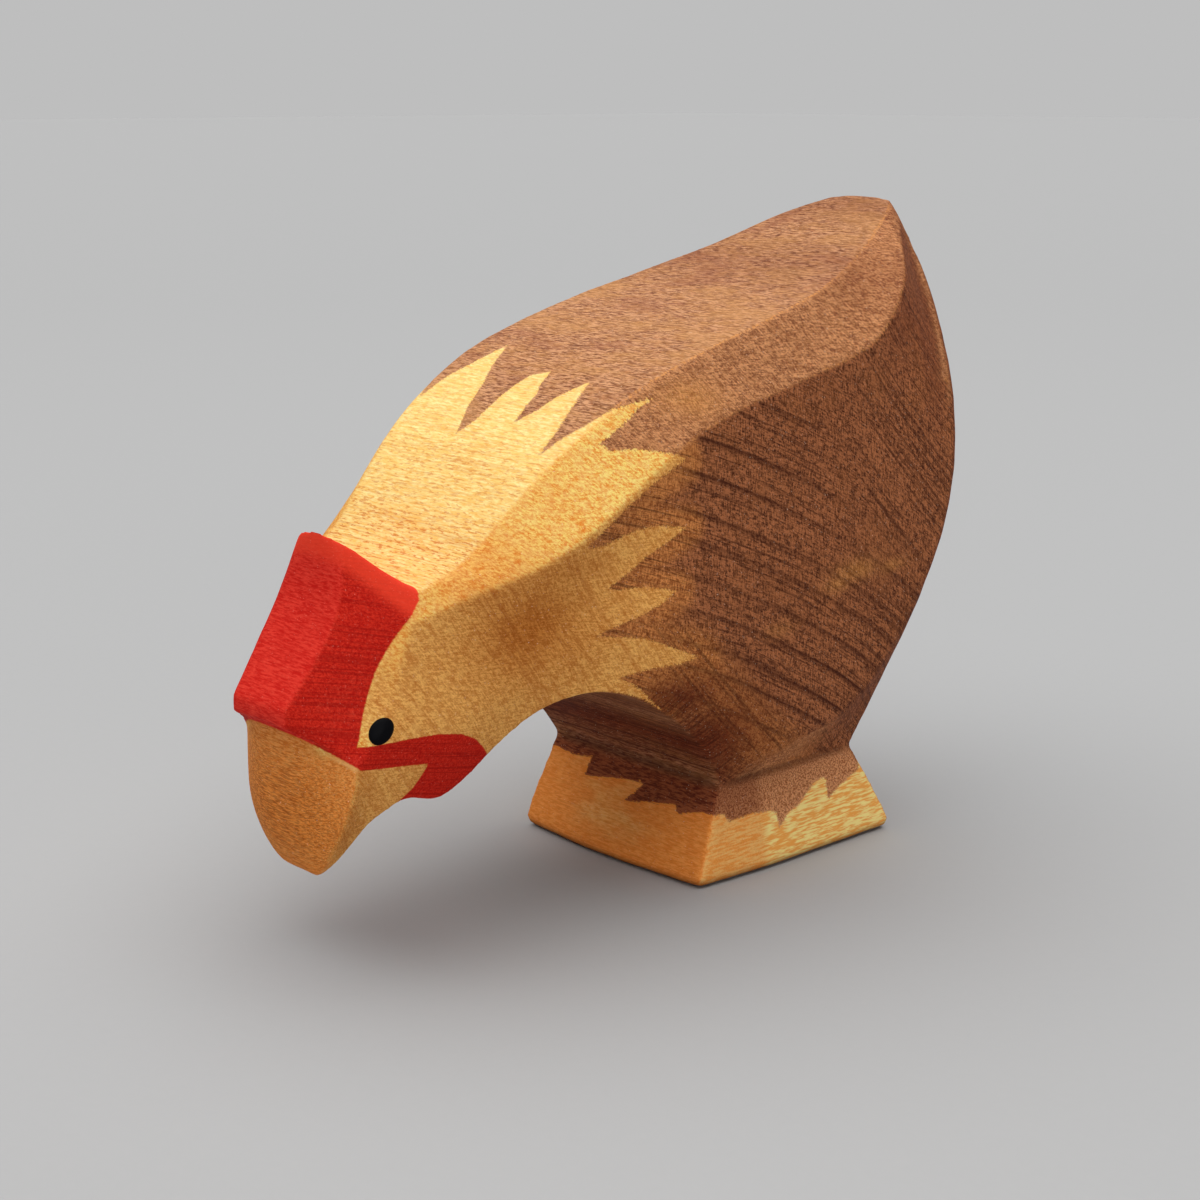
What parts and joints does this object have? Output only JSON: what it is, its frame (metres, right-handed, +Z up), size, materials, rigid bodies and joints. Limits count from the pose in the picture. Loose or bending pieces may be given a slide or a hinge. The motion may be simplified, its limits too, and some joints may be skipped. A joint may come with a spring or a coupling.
{
  "type": "carved wooden hen figure",
  "caption": "Small carved and stained wooden hen that pecks at the ground, with a red comb, jagged brown feather stain, raised black eyes and a flared foot to stand on.",
  "frame": {"origin": "middle of the foot's flat underside", "axes": "+Z up; the hen looks along -Y and her tail is towards +Y; her left side is +X"},
  "size_m": [0.026, 0.0591, 0.0492],
  "materials": {
    "stained_wood": "matt water stain over bare pale hardwood, the grain showing through",
    "black_paint": "thick satin paint drop"
  },
  "bodies": {
    "root": {"carved_hen": "stained_wood", "left_eye": "black_paint", "right_eye": "black_paint"}
  },
  "joints": []
}
